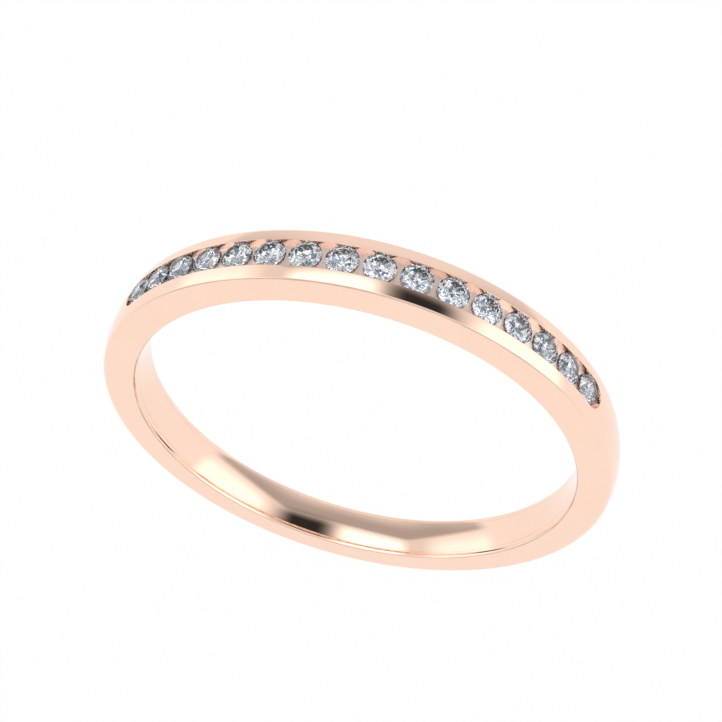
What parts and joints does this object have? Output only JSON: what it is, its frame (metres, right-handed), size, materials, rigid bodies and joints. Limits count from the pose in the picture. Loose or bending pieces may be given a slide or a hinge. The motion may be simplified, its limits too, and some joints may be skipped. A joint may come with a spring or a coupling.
{
  "type": "wedding band",
  "caption": "Slim rose gold wedding band with a domed, slightly tapered shank and a channel of small round brilliants along its top.",
  "frame": {"origin": "centre of the finger bore, halfway between the two side faces", "axes": "+Y along the ring's axis, out of the back side face; +Z from the bore's centre up through the middle of the stone row; +X to the right when the front side face (-Y) is looked at"},
  "size_m": [0.0204, 0.0022, 0.0204],
  "materials": {
    "rose_gold": "high polish",
    "diamond": "polished facets"
  },
  "bodies": {
    "root": {"band": "rose_gold", "stone_01": "diamond", "stone_02": "diamond", "stone_03": "diamond", "stone_04": "diamond", "stone_05": "diamond", "stone_06": "diamond", "stone_07": "diamond", "stone_08": "diamond", "stone_09": "diamond", "stone_10": "diamond", "stone_11": "diamond", "stone_12": "diamond", "stone_13": "diamond", "stone_14": "diamond", "stone_15": "diamond", "stone_16": "diamond"}
  },
  "joints": []
}
